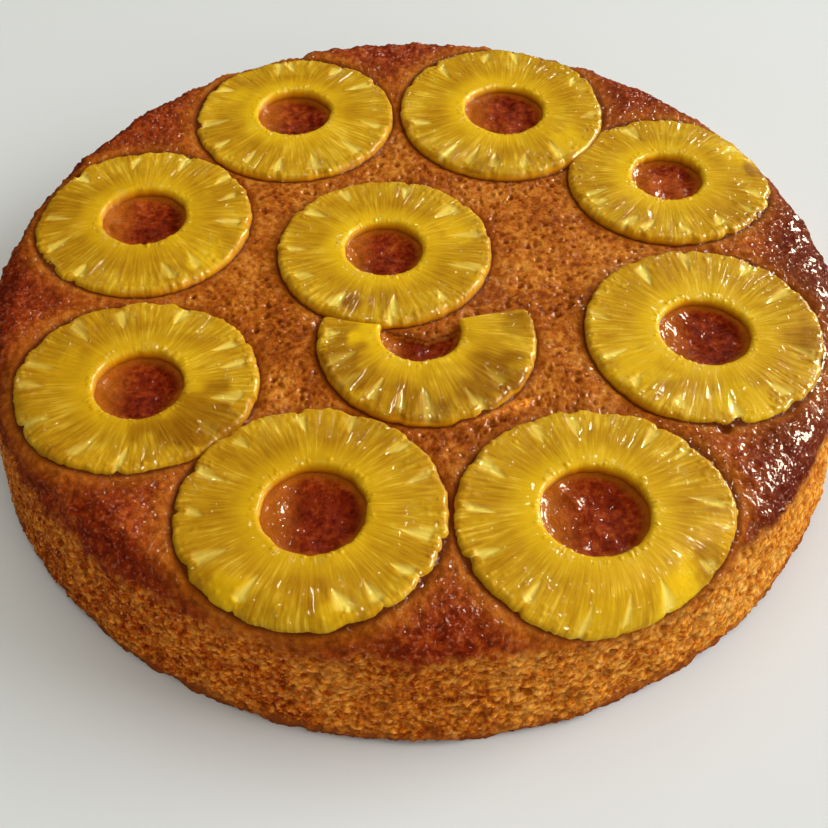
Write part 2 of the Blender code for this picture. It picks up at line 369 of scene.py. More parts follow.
SLICES = [
    Slice("centre", -10.3, 9.0, 70.6, 70.0, 25.4, (-0.3, -0.3),
          (14, 41, 75, 117, 143, 184, 213, 243, 281, 312, 340),
          [(250, 0.75, 4, 0.8)], [(20, 0.6, 9, 0.5)]),
    Slice("front_left", -28.4, -96.7, 74.8, 72.8, 29.0, (0.5, 0.8),
          (17, 43, 70, 98, 131, 158, 186, 213, 240, 284, 302, 320, 344),
          [(62, 0.8, 8, 0.4), (180, 0.6, 45, 0.3)], [(232, 0.85, 7, 0.8), (285, 0.85, 6, 0.5)]),
    Slice("front_right", 48.6, -98.0, 77.6, 74.6, 29.8, (-0.3, 1.7),
          (12, 36, 55, 95, 117, 155, 180, 206, 235, 262, 285, 308, 332),
          [(335, 0.75, 7, 0.5)], [(312, 0.8, 11, 0.9), (275, 0.8, 12, 0.35)]),
    Slice("right", 88.5, -29.2, 73.2, 73.6, 27.8, (0.3, 0.1),
          (27, 57, 94, 125, 172, 197, 218, 248, 275, 306, 346),
          [(350, 0.9, 10, 0.7), (20, 1.0, 5, 0.6)], [(215, 0.6, 11, 0.6), (285, 0.75, 10, 0.6)]),
    Slice("back_right", 88.2, 45.6, 70.0, 66.4, 24.4, (-0.5, 0.7),
          (30, 108, 197, 211, 240, 252, 270, 303, 325, 345),
          [(5, 1.0, 7, 0.9), (318, 0.8, 7, 0.5)], [(25, 0.7, 10, 0.7)], under=("back_middle",)),
    Slice("back_middle", 31.7, 85.9, 74.8, 79.2, 28.8, (1.1, -0.2),
          (28, 75, 103, 138, 198, 230, 248, 262, 285, 309, 350),
          [(255, 0.85, 9, 0.5)], [(320, 0.7, 9, 0.6)]),
    Slice("back_left", -44.6, 81.9, 72.4, 72.4, 26.6, (-0.3, 1.5),
          (37, 65, 93, 108, 148, 190, 215, 240, 262, 288, 320, 347),
          [(200, 0.6, 10, 0.35)], [(150, 0.5, 7, 0.5)]),
    Slice("left", -91.5, 23.7, 72.0, 72.4, 28.0, (-0.2, 1.2),
          (18, 40, 72, 107, 140, 183, 205, 237, 292, 315, 355),
          [(20, 0.8, 8, 0.3), (293, 0.8, 6, 0.4), (190, 0.6, 40, 0.35)], [(320, 0.75, 9, 0.6)]),
    # Its stain at 318 degrees is painted shade over the ring's lower right.
    Slice("left_front", -83.1, -50.0, 73.2, 67.8, 26.2, (1.2, -0.9),
          (14, 35, 73, 107, 135, 168, 185, 212, 250, 272, 323, 343),
          [(318, 0.55, 18, 0.95), (180, 0.6, 45, 0.35)], [(165, 0.4, 8, 0.5)], under=("front_left",)),
    Slice("part", 3.2, -31.6, 67.6, 68.0, 24.8, (-1.9, 2.4),
          (178, 200, 220, 238, 255, 268, 297, 325),
          [(320, 0.75, 14, 0.9), (185, 0.6, 4, 0.8), (205, 0.85, 13, 0.8), (262, 0.9, 13, 0.7),
           (15, 0.9, 10, 0.6)],
          [(182, 0.2, 7, 0.9)], cut=(163.0, 383.0), under=("centre", "front_left")),
]
SLICE_BY_NAME = {ring.name: ring for ring in SLICES}


def rim_gap(x, y, ring):
    """How far each spot lies outside a ring's rim, in mm, and negative inside it.

    The rim is an ellipse. For the part ring, spots in its missing sector are outside by their
    distance to the nearer of its two cut ends.
    """
    across = x - ring.middle[0]
    along = y - ring.middle[1]
    reach = np.hypot(across, along)
    angle = np.arctan2(along, across)
    rim = 1.0 / np.hypot(np.cos(angle) / ring.radii[0], np.sin(angle) / ring.radii[1])
    gap = reach - rim
    if ring.cut:
        first, last = ring.cut
        past_last = (np.degrees(angle) - last) % 360.0
        missing = 360.0 - (last - first)
        to_end = np.minimum(past_last, missing - past_last)
        beyond = reach * np.sin(np.radians(np.clip(to_end, 0.0, 90.0)))
        gap = np.where(past_last < missing, np.maximum(gap, beyond), gap)
    return gap


def hole_gap(x, y, ring):
    """How far each spot lies outside a ring's core hole, in mm, and negative inside it."""
    return np.hypot(x - ring.hole_middle[0], y - ring.hole_middle[1]) - ring.hole


print("rings:", ", ".join(ring.name for ring in SLICES))

# %% [markdown]
# A ring could be a torus with a bump texture, but its upper edge, notches and fibres catch the
# window light, so they are made as real relief. One cross-section, with rounded upper edges, is
# carried round the ring, and its depth is a sum: fibres, a soft unevenness and dents for wedges.

# %% Ring cross-section
RING_THICKNESS = 8.6
EDGE_ROUND = 1.6
ROUND_STEPS = 6
TOP_STEPS = 46
WALL_STEPS = 6
UNDERSIDE = np.array([0.66, 0.33])


def ring_section():
    """Share of the width, inset and depth of points round a ring's section, one row for each.

    It runs up the core wall, round the upper edge as a quarter circle, across the top, round
    the rim's edge, down the outer wall and back along the underside.
    """
    quarter = np.linspace(0.0, math.pi / 2, ROUND_STEPS)
    wall = np.linspace(RING_THICKNESS, EDGE_ROUND, WALL_STEPS)[:-1]
    across = np.linspace(0.0, 1.0, TOP_STEPS)[1:-1]
    edge = EDGE_ROUND * (1.0 - np.cos(quarter))
    round_depth = EDGE_ROUND * (1.0 - np.sin(quarter))
    under = 0 * UNDERSIDE
    share = [0 * wall, 0 * quarter, across, 0 * quarter + 1.0, 0 * wall + 1.0, UNDERSIDE]
    inset = [0 * wall, edge, EDGE_ROUND * (1.0 - 2.0 * across), -edge[::-1], 0 * wall, under]
    depth = [wall, round_depth, 0 * across, round_depth[::-1], wall[::-1], under + RING_THICKNESS]
    return (np.concatenate(parts)[None, :] for parts in (share, inset, depth))


SHARE, INSET, DEPTH = ring_section()
ON_TOP = 1.0 - smooth_step(DEPTH, 0.9, 2.2)
print("section points:", SHARE.size)

# %% Pale wedges, stains and lit patches
WEDGE_TIP = (0.42, 0.68)
WEDGE_END = (0.92, 1.04)
WEDGE_HALF_WIDTH = (2.8, 5.4)
WEDGE_STRENGTH = (0.55, 1.0)
WEDGE_LEAN = (-6.0, 6.0)
WEDGE_SHIFT = (-2.0, 2.0)
WEDGE_CLOSE = (-0.1, 0.03)
PATCH_NOISE = 0.35
PATCH_NOISE_SIZE = 4.0


def turned(angle):
    """The same angle in degrees, between -180 and 180."""
    return (angle + 180.0) % 360.0 - 180.0


def wedge_marks(angle, share, ring, random):
    """How strongly each point lies in a pale wedge, from 0 to 1.

    Each wedge is pointed towards the core and widest near the rim: its half width grows nearly
    in step with the way from its tip. A point is marked by how far inside that width it is.
    """
    marks = np.zeros(np.broadcast(angle, share).shape)
    reach = ring.hole + (ring.radii.mean() - ring.hole) * share
    for middle in ring.wedges:
        tip = random.uniform(*WEDGE_TIP)
        end = random.uniform(*WEDGE_END)
        half_width = random.uniform(*WEDGE_HALF_WIDTH)
        strength = random.uniform(*WEDGE_STRENGTH)
        lean = random.uniform(*WEDGE_LEAN)
        along = np.clip((share - tip) / (end - tip), 0.0, 1.0)
        width = half_width * along ** 0.8
        width = width * (1.0 - smooth_step(share, end + WEDGE_CLOSE[0], end + WEDGE_CLOSE[1]))
        aside = np.degrees(angle) - middle - random.uniform(*WEDGE_SHIFT) - lean * along
        inside = 1.0 - np.abs(np.radians(turned(aside)) * reach) / np.maximum(width, 1e-3)
        marks = np.maximum(marks, strength * smooth_step(inside, 0.0, 1.0))
    return marks


def patches(places, angle, ring, level, seed):
    """Soft-edged patches from 0 to 1, each its strength times a smooth step of the way out of it.

    The way out is the distance to the patch's middle over its reach, plus soft noise.
    """
    marks = np.zeros(level.shape[:-1])
    width = ring.radii.mean() - ring.hole
    reach = ring.hole + width * SHARE
    for middle, place, size, strength in places:
        aside = turned(np.degrees(angle) - middle)
        off = np.hypot(np.radians(aside) * reach, (SHARE - place) * width)
        edge = off / size + PATCH_NOISE * swell(level, PATCH_NOISE_SIZE, seed)
        marks = np.maximum(marks, strength * (1.0 - smooth_step(edge, 0.45, 1.15)))
    return marks


print("wedges:", sum(len(ring.wedges) for ring in SLICES))

# %% Syrup beads and the ring's plan
BEAD_WIDTH = 2.2
BEAD_HEIGHT = 0.4
DROP_WIDTH = 1.6
DROP_HEIGHT = 0.4
NOTCH = 1.0
LEAST_NOTCH = 0.3
HOLE_NOISE = 0.25


def syrup_beads(level, seed):
    """Height in mm of the beads of syrup, which stand along the core's edge and towards the rim.

    Wider beads come in groups, where a soft noise is high, and small drops line both edges.
    """
    bead, _ = pits(level, BEAD_WIDTH, BEAD_HEIGHT, 0.5, seed + 9)
    drop, _ = pits(level, DROP_WIDTH, DROP_HEIGHT, 0.35, seed + 17)
    at_core = 1.0 - smooth_step(SHARE, 0.03, 0.1)
    in_band = np.maximum(smooth_step(SHARE, 0.5, 0.9), at_core)
    bead = bead * in_band * smooth_step(swell(level, 8.0, seed + 13), -0.5, 0.3)
    return bead + drop * np.maximum(smooth_step(SHARE, 0.88, 0.97), at_core)


def ring_plan(ring, angle, end, around, seed):
    """Flat x and y of a ring's points: the core edge plus a share of the way to the rim.

    The rim is drawn in by notches where wedges end and by noise, mostly at its upper edge. Each
    point is then moved by the section's inset.
    """
    rim_wedge = wedge_marks(angle, np.full((1, 1), 0.9), ring, np.random.default_rng(seed))
    ragged = 0.5 * swell(around, 3.0, seed) + 0.25 * swell(around, 1.1, seed + 1)
    notch = NOTCH * rim_wedge + 0.5 * np.abs(swell(around, 5.0, seed + 2)) + ragged
    notch = notch * (LEAST_NOTCH + (1.0 - LEAST_NOTCH) * ON_TOP)
    ray = np.stack([np.cos(angle), np.sin(angle)], axis=-1)
    core = ring.hole_middle + ray * (ring.hole + HOLE_NOISE * swell(around, 6.0, seed + 3)[..., None])
    rim = ring.middle + ray * (ring.radii - notch[..., None])
    inset = INSET + end * (1.0 - 2.0 * SHARE)
    return core + (rim - core) * SHARE[..., None] + ray * inset[..., None]


print("beads up to", BEAD_HEIGHT + DROP_HEIGHT, "mm high")

# %% Ring surface
# Fibres are noise on a cylinder with this radius (turn) and length (run), 1.3 mm wide on it, so
# about 170 of them go round a ring, and each runs through half of the ring's width.
FIBRE_WIDTH = 1.3
FIBRE_DEPTH = 0.04
FIBRE_TURN = 36.0
FIBRE_RUN = 2.6
FIBRE_OFFSET = 40.0
RING_COLUMNS = 600
PART_COLUMNS = 366
RING_LEAN = 0.45
SINK = 0.2
SAG = 0.5
SMALL_SAG = 0.2
WEDGE_DENT = 0.6
TUCK = 5.0
END_ROUND = 1.5
END_REACH = 0.7


def ring_points(ring, seed):
    """Points of a ring, row by row round it, and its marks.

    A point's depth is the section's, plus fibres, a soft sag and the dents of the wedges, less
    the beads. A cut end is rounded by a quarter circle, and the rim dips under a ring that lies
    over it.
    """
    angle = (np.arange(RING_COLUMNS) * math.tau / RING_COLUMNS)[:, None]
    end = np.zeros_like(angle)
    if ring.cut:
        first, last = np.radians(ring.cut)
        angle = np.linspace(first, last, PART_COLUMNS)[:, None]
        end_gap = np.minimum(angle - first, last - angle) * ring.radii.mean() * END_REACH
        end_gap = np.clip(end_gap, 0.0, END_ROUND)
        end = END_ROUND - np.sqrt(END_ROUND ** 2 - (END_ROUND - end_gap) ** 2)
    grain = np.stack(np.broadcast_arrays(FIBRE_TURN * np.cos(angle), FIBRE_TURN * np.sin(angle),
                                         FIBRE_RUN * SHARE + FIBRE_OFFSET * seed), axis=-1)
    wedge = wedge_marks(angle, SHARE, ring, np.random.default_rng(seed))
    plan = ring_plan(ring, angle, end, grain[:, :1], seed)
    level = np.concatenate([plan, np.zeros_like(plan[..., :1])], axis=-1)
    fibres = swell(grain, FIBRE_WIDTH, seed + 4) + 0.5 * swell(grain, FIBRE_WIDTH / 2, seed + 5)
    fibres = FIBRE_DEPTH * fibres * smooth_step(SHARE, 0.05, 0.5)
    sag = SAG * swell(level, 17.0, seed + 6) + SMALL_SAG * swell(level, 6.0, seed + 7)
    relief = fibres + sag + WEDGE_DENT * wedge - syrup_beads(level, seed) - SINK
    depth = DEPTH + end + ON_TOP * relief
    for name in ring.under:
        gap = rim_gap(plan[..., 0], plan[..., 1], SLICE_BY_NAME[name])
        depth = depth + TUCK * (1.0 - smooth_step(gap, -2.5, 0.9))
    points = drape(plan[..., 0], plan[..., 1], depth, RING_LEAN)
    # Painted light: the flesh near the core is painted brighter, most on the ring's left, where the
    # window from the right lights the hole's far side.
    painted_light = (0.6 - 0.2 * np.cos(angle)) * (1.0 - smooth_step(SHARE, 0.02, 0.45))
    wet = np.maximum(smooth_step(SHARE, 0.2, 0.8), 1.0 - smooth_step(SHARE, 0.04, 0.14))
    marks = {"wedge": wedge, "grain": grain,
             "stain": patches(ring.stains, angle, ring, level, seed + 8),
             # Painted light and shade: upper walls are painted brighter orange for light seen through
             # the flesh; deeper down they are painted darker, shade in the core hole, with syrup where
             # the fruit sits in the caramel.
             "wall": smooth_step(DEPTH, 0.6, 1.8) + 0 * depth,
             "soaked": smooth_step(DEPTH, 1.0, 3.4) + 0 * depth,
             "wet": wet + 0 * depth,
             "painted_light": np.maximum(painted_light, patches(ring.lit, angle, ring, level, seed + 19))}
    return points, marks


print("fibres round a ring:", round(math.tau * FIBRE_TURN / FIBRE_WIDTH))

# %% [markdown]
# Baked pineapple flesh is soft, wet and lets light through. Typical values: IOR about 1.36 for
# fruit with sugar, a thin glossy coat of syrup, and light that spreads a few millimetres inside.
# It is deeper amber where fibres are dense and pale in the wedges. Near the core, most on its
# left, and in a few lit patches it is painted brighter yellow, painted light through the flesh.

# %% Pineapple finish
# Noise scales are per metre: 95 gives patches of about 10 mm, 500 dimples and drops of 2 mm.
FRUIT_IOR = 1.36
SYRUP_IOR = 1.42


def wet_baked_pineapple():
    """Flesh of a tinned ring, baked under syrup: streaked yellow, stained amber, wet."""
    material, tree, output = new_material("wet_baked_pineapple")
    marks = {name: (add(tree, "Attribute", attribute_name=name), "Fac")
             for name in ("wedge", "stain", "grain", "wall", "soaked", "wet", "painted_light")}
    here = {"Vector": (add(tree, "TexCoord"), "Object")}
    broad = add(tree, "TexNoise", {"Scale": 95.0, "Detail": 2.0}, here)
    streak = add(tree, "TexNoise", {"Scale": 0.8, "Detail": 4.0, "Roughness": 0.6},
                 {"Vector": (marks["grain"][0], "Vector")})
    dimple = add(tree, "TexNoise", {"Scale": 500.0, "Detail": 1.0}, here)
    mixed = add(tree, "Mix", {0: 0.62}, {2: (broad, "Fac"), 3: (streak, "Fac")})
    flesh = add(tree, "ValToRGB", links={"Fac": (mixed, 0)},
                stops=[(0.36, "#ab7408"), (0.46, "#bb880e"), (0.55, "#c89812"), (0.66, "#e2b836")])
    # Painted light: near the core and in the lit patches the flesh is painted a brighter yellow.
    golden = add(tree, "Mix", {7: "#e6b70e"}, {0: marks["painted_light"], 6: (flesh, 0)})
    uneven = add(tree, "MapRange", {"From Min": 0.35, "From Max": 0.6, "To Min": 0.6},
                 {"Value": (streak, "Fac")})
    paleness = add(tree, "Math", links={0: marks["wedge"], 1: (uneven, 0)}, operation="MULTIPLY")
    pale = add(tree, "Mix", {7: "#f5dc62"}, {0: (paleness, 0), 6: (golden, 2)})
    amber = add(tree, "Mix", {7: "#c2a86c"}, {0: marks["stain"], 6: (pale, 2)},
                blend_type="MULTIPLY")
    # Painted light on the upper walls, then painted shade and syrup deeper down them.
    edge = add(tree, "Mix", {7: "#e09a0c"}, {0: marks["wall"], 6: (amber, 2)})
    walls_painted = add(tree, "Mix", {7: "#a04a06"}, {0: marks["soaked"], 6: (edge, 2)})
    height = add(tree, "Mix", {0: 0.5}, {2: (streak, "Fac"), 3: (dimple, "Fac")})
    fine = add(tree, "Bump", {"Strength": 0.4, "Distance": 0.0005}, {"Height": (height, 0)})
    spray = add(tree, "TexNoise", {"Scale": 520.0, "Detail": 0.0}, here)
    thread = add(tree, "TexNoise", {"Scale": 0.45, "Detail": 0.0},
                 {"Vector": (marks["grain"][0], "Vector")})
    droplet = add(tree, "MapRange", {"From Min": 0.6, "From Max": 0.8}, {"Value": (spray, "Fac")})
    ridge = add(tree, "MapRange", {"From Min": 0.57, "From Max": 0.74}, {"Value": (thread, "Fac")})
    either = add(tree, "Math", links={0: (droplet, 0), 1: (ridge, 0)}, operation="MAXIMUM")
    beaded = add(tree, "Math", links={0: (either, 0), 1: marks["wet"]}, operation="MULTIPLY")
    glaze = add(tree, "Bump", {"Strength": 1.0, "Distance": 0.0009},
                {"Height": (beaded, 0), "Normal": (fine, 0)})
    shader = add(tree, "BsdfPrincipled", {
        "Roughness": 0.5, "IOR": FRUIT_IOR, "Specular IOR Level": 0.15, "Coat Weight": 0.9,
        "Coat Roughness": 0.04, "Coat IOR": SYRUP_IOR, "Subsurface Weight": 0.35,
        "Subsurface Scale": 0.004, "Subsurface Radius": (1.0, 0.62, 0.12),
    }, {"Base Color": (walls_painted, 2), "Normal": (fine, 0), "Coat Normal": (glaze, 0)})
    tree.links.new(shader.outputs["BSDF"], output.inputs["Surface"])
    print("made", material.name, "with", len(tree.nodes), "nodes")
    return material


# %% Make the rings
pineapple = wet_baked_pineapple()
for number, ring in enumerate(SLICES):
    points, marks = ring_points(ring, 11 + 7 * number)
    rows, columns = points.shape[:2]
    faces = grid_faces(rows, columns, not ring.cut, True)[:, ::-1].tolist()
    if ring.cut:
        faces.append(list(range(columns)))
        faces.append(list(range(rows * columns - 1, (rows - 1) * columns - 1, -1)))
    listed = {name: values.reshape(rows * columns, -1).squeeze() for name, values in marks.items()}
    add_piece("ring_" + ring.name, points.reshape(-1, 3), faces,
              ["pineapple_ring_" + ring.name], pineapple, listed)

# %% [markdown]
# The sponge is one loaf of crumb with three skins: a porous syrupy top between the rings, a dark
# caramelled rim that swells up round them, and a side of torn golden crumb. Its form follows the
# frame, low in the middle and mounded at the rim. Each core hole shows a shallow bowl of crumb
# that is soaked with syrup.

# %% Form of the sponge's top
MIDDLE_DEPTH = 1.9
RIM_DEPTH = 0.2
MOUND_START = 84.0
MOUND_FULL = 112.0
WELL_EDGE_DEPTH = 3.3
WELL_MIDDLE_DEPTH = 4.2
LIP_HEIGHT = 1.0
LIP_WIDTH = 1.3
DARK_EDGE = 3.0
HIDDEN_DEPTH = 6.0
HIDDEN_FROM = 2.0
HIDDEN_FULL = 3.4
MOAT_DEPTH = 0.8
MOAT_WIDTH = 1.6
FAR = 99.0


def sponge_form(x, y):
    """Depth of the crumb below the fruit tops, and marks for syrup, wells and fruit above.

    The mound rises from the middle's depth to the rim's by a smooth step. Each core hole holds a
    shallow paraboloid bowl, whose near edge has a lip of syrup, a bell curve. A moat follows every
    rim as a bell curve of the gap to it, and under the fruit the crumb drops out of sight. A
    well's dark mark grows from its left to its right: painted shade from the ring's right wall,
    and crumb baked darker there.
    """
    mound = smooth_step(np.hypot(x, y), MOUND_START, MOUND_FULL)
    depth = MIDDLE_DEPTH + (RIM_DEPTH - MIDDLE_DEPTH) * mound
    nearest = np.full(x.shape, FAR)
    well, dark, hidden, hollowed = np.zeros((4, *x.shape))
    for ring in SLICES:
        to_rim = rim_gap(x, y, ring)
        to_hole = hole_gap(x, y, ring)
        across = (x - ring.hole_middle[0]) / ring.hole
        along = (y - ring.hole_middle[1]) / ring.hole
        in_hole = (to_hole < HIDDEN_FROM) & (to_rim < 0.0)
        out = np.clip((to_hole + ring.hole) / ring.hole, 0.0, 1.2)
        bowl = WELL_MIDDLE_DEPTH + (WELL_EDGE_DEPTH - WELL_MIDDLE_DEPTH) * out ** 2
        lip = LIP_HEIGHT * (1.0 - smooth_step(along, 0.0, 0.7))
        bowl = bowl - lip * np.exp(-(np.minimum(to_hole, 0.0) / LIP_WIDTH) ** 2)
        depth = np.where(in_hole, bowl, depth)
        well = np.where(in_hole, 1.0, well)
        hollowed = np.where(in_hole, -to_hole, hollowed)
        # Painted shade: a well darkens towards its right, in the shadow of the ring's right wall, and
        # the crumb there is baked darker too.
        shaded_and_browned = smooth_step(across, -1.0, -0.1) * smooth_step(-to_hole, 0.0, DARK_EDGE)
        dark = np.where(in_hole, shaded_and_browned, dark)
        in_fruit = np.minimum(-to_rim, to_hole)
        hidden = np.maximum(hidden, smooth_step(in_fruit, HIDDEN_FROM, HIDDEN_FULL))
        nearest = np.where(np.abs(to_rim) < np.abs(nearest), to_rim, nearest)
    moat = MOAT_DEPTH * np.exp(-(nearest / MOAT_WIDTH) ** 2) * (1.0 - well)
    depth = depth + moat
    depth = depth + (np.maximum(depth, HIDDEN_DEPTH) - depth) * hidden
    return depth, nearest, well, dark, hidden, mound, hollowed


print("crumb below the fruit in mm: middle", MIDDLE_DEPTH, "rim", RIM_DEPTH)

# %% [markdown]
# Crumb is a foam that has set. On top it shows open pores, on the rim caramel has blistered, and
# the side is torn where it left the tin. Each is worked out as a relief in millimetres, and each
# gives a mark as well, so that the finish can paint shade into what lies deep.

# %% Relief of the crumb, with sizes and depths in millimetres
SEAM_ARC = FLAT_RADIUS + 0.8 * SHOULDER_LENGTH
FOOT_ARC = FLAT_RADIUS + SHOULDER_LENGTH + SIDE_HEIGHT
SIDE_FLATTENED = np.array([1.0, 1.0, 1.35])
BURST_BUBBLES = ((88.0, -68.0, 3.0, 2.2), (60.0, -50.0, 1.8, 1.2), (-14.0, -55.0, 1.8, 1.0))
BURST_SQUASH = 0.7
RIDGE_ENDS = ((13.0, -63.5), (31.0, -57.0))
RIDGE_WIDTH = 2.4
RIDGE_HEIGHT = 1.3


def top_relief(even, arc, mound, pores, small_pores):
    """Depth of the top's skin and how deep in a hollow each point lies, from 0 to 1.

    On the mound the pores fade, and blisters and crags of caramel stand up instead.
    """
    skin = 0.6 * swell(even, 12.0, 41) + 0.35 * swell(even, 3.6, 42) + 0.25 * swell(even, 1.8, 43)
    blister, wrinkle = lumps(even, 2.4, 1.0, 61)
    craggy = 0.8 * smooth_step(arc, FLAT_RADIUS - 6.0, FLAT_RADIUS + 8.0) * swell(even, 4.5, 63)
    depth = (1.0 - 0.7 * mound) * (pores[0] + small_pores[0]) - skin - mound * blister - craggy
    hollow = np.clip(0.8 * pores[1] + 0.6 * small_pores[1], 0.0, 1.0) * (1.0 - 0.6 * mound)
    return depth, hollow + 0.3 * mound * wrinkle


def side_relief(even, arc, pores):
    """Depth of the side's skin and how deep in a hollow each point lies, from 0 to 1.

    It has coarse and fine grains, a little flatter than wide, torn pits and two soft swells.
    """
    layered = even * SIDE_FLATTENED
    coarse, crevice = lumps(layered, 2.8, 1.0, 51)
    fine, small_crevice = lumps(layered, 1.5, 1.0, 55)
    torn_depth, torn = pits(layered, 6.0, 2.2, 0.62, 65)
    torn_depth = torn_depth * smooth_step(arc, SEAM_ARC + 1.0, SEAM_ARC + 4.0)
    depth = pores[0] + torn_depth - coarse - fine
    depth = depth - 0.9 * swell(even, 14.0, 44) - 0.5 * swell(even, 5.0, 45)
    return depth, np.clip(0.7 * crevice + 0.4 * small_crevice + 0.6 * pores[1] + torn, 0.0, 1.0)


def crumb_heap(x, y):
    """A ridge of pale crumb between two rings: a bell curve of the distance to its line."""
    start, end = np.array(RIDGE_ENDS)
    run = end - start
    along = np.clip(((x - start[0]) * run[0] + (y - start[1]) * run[1]) / (run @ run), 0.0, 1.0)
    gap = np.hypot(x - start[0] - along * run[0], y - start[1] - along * run[1])
    return np.exp(-(gap / RIDGE_WIDTH) ** 2)


def burst_bubbles(x, y):
    """Depth in mm and share of the large open bubbles, each a paraboloid of its listed reach."""
    depth, share = np.zeros((2, *x.shape))
    for across, along, reach, deep in BURST_BUBBLES:
        inside = 1.0 - ((x - across) / reach) ** 2 - ((y - along) / (BURST_SQUASH * reach)) ** 2
        inside = np.clip(inside, 0.0, 1.0)
        depth = depth + deep * inside
        share = np.maximum(share, smooth_step(inside, 0.0, 0.5))
    return depth, share


print("arc to the seam and to the foot in mm:", round(float(SEAM_ARC)), round(float(FOOT_ARC)))


# %% Skin of the sponge
def crumb(x, y):
    """Points and marks of the sponge's skin over flat coordinates.

    The top's relief turns into the side's across a wavy seam. It fades beside the fruit, where
    syrup has filled it, and below the fruit, and the wells have a soft relief of their own.
    """
    depth, nearest, well, dark, hidden, mound, hollowed = sponge_form(x, y)
    arc = np.hypot(x, y)
    even = drape(x, y, depth)
    seam = smooth_step(arc + 3.0 * swell(even, 7.0, 21) + 1.5 * swell(even, 2.0, 22),
                       FLAT_RADIUS + 0.6 * SHOULDER_LENGTH, FLAT_RADIUS + 0.85 * SHOULDER_LENGTH)
    pores = pits(even, 2.7, 1.2, 0.4, 31)
    on_top, hollow_top = top_relief(even, arc, mound, pores, pits(even, 1.6, 0.7, 0.3, 35))
    on_side, hollow_side = side_relief(even, arc, pores)
    relief = on_top * (1.0 - seam) + on_side * seam
    relief = relief * (0.25 + 0.75 * smooth_step(nearest, 0.0, 4.0))
    wavy = 1.2 * swell(even, 4.8, 46) + 0.3 * swell(even, 2.1, 47)
    wavy = wavy * smooth_step(hollowed, -0.5, 1.8)
    relief = (relief + (wavy - relief) * well) * (1.0 - hidden)
    heap = crumb_heap(x, y)
    burst_depth, burst = burst_bubbles(x, y)
    relief = relief + burst_depth - RIDGE_HEIGHT * heap
    foot = smooth_step(arc, FOOT_ARC - 3.0, FOOT_ARC)
    relief = relief * (1.0 - 0.5 * foot)
    relief = relief + foot * (0.8 + 0.4 * swell(even, 3.0, 71) + 0.6 * swell(even, 8.0, 73))
    points = drape(x, y, depth + relief)
    away = smooth_step(nearest, -1.0, 7.0)
    over_edge = smooth_step(arc + 6.0 * swell(even, 13.0, 67), FLAT_RADIUS - 19.0, FLAT_RADIUS - 1.0)
    singed = smooth_step(x + 12.0 * swell(even, 16.0, 69), 72.0, 98.0)
    close = smooth_step(nearest, 2.5 - 1.5 * singed, 9.0 - 5.0 * singed)
    marks = {
        "caramel": mound * np.maximum(away, 0.25),
        "burnt": np.maximum(over_edge, singed * (1.0 - smooth_step(y, -20.0, 10.0))) * close,
        "singed": singed * (0.75 - 0.45 * smooth_step(y, -10.0, 50.0)),
        # Painted shade: the side is coloured darker and redder towards the left, away from the window.
        "toasted": 1.0 - smooth_step(x + 10.0 * swell(even, 20.0, 74), -70.0, 120.0),
        "syrup": np.exp(-np.clip(nearest, 0.0, 60.0) / (2.2 + 1.5 * mound)) * (1.0 - well),
        # How deep in pores, crevices and open bubbles: the finish paints shade there.
        "pore": np.maximum((hollow_top * (1.0 - seam) + hollow_side * seam) * (1.0 - heap), burst),
        "well": well, "dark": dark,
        "side": np.maximum(seam, smooth_step(heap, 0.2, 0.7)),
        "foot": smooth_step(arc + 2.0 * swell(even, 2.5, 72), FOOT_ARC - 6.5, FOOT_ARC - 1.0),
    }
    return points, marks


print("marks of the crumb:", ", ".join(crumb(np.zeros((1, 1)), np.zeros((1, 1)))[1]))

# %% [markdown]
# The middle of the top is a square grid bent to a disc, so that its cells have the same size
# everywhere and none are wasted at a pole. The rim and the side are bands, and their columns
# start on that disc's border. There are three pieces, because each may have only so many faces,
# and each is closed inside the cake.

# %% Grid of the middle
DISC_CELLS = 280
DISC_ARC = 76.0


def disc_grid(cells, reach):
    """A square grid bent to a disc: each square ring becomes a circle of the same size.

    The larger of |u| and |v| is the distance from the middle, and the smaller one, divided by
    it, runs evenly along an eighth of the circle.
    """
    u, v = np.meshgrid(np.linspace(-1.0, 1.0, cells + 1), np.linspace(-1.0, 1.0, cells + 1))
    wide = np.abs(u) >= np.abs(v)
    long_side = np.where(wide, u, v)
    short_side = np.where(wide, v, u)
    eighth = math.pi / 4 * short_side / np.where(long_side == 0.0, 1.0, long_side)
    angle = np.where(wide, eighth, math.pi / 2 - eighth)
    return reach * long_side * np.cos(angle), reach * long_side * np.sin(angle)


def border_loop(cells):
    """Numbers of the grid's border points in one loop, against the clock."""
    side = np.arange(cells)
    wide = cells + 1
    bottom, right = side, wide * side + cells
    top, left = wide * cells + cells - side, wide * (cells - side)
    return np.concatenate([bottom, right, top, left])


print("cells of the middle:", DISC_CELLS ** 2)

# %% [markdown]
# Butter sponge bakes to a golden, matt crumb, and where it touched the sugared tin it turns to
# glossy red-brown caramel. Typical values: IOR about 1.4 and a rough surface for dry crumb, and a
# smooth coat of syrup where it is wet. The finish is one material, and the marks say where each
# skin is. Its colours come from noise at the size of the grains.


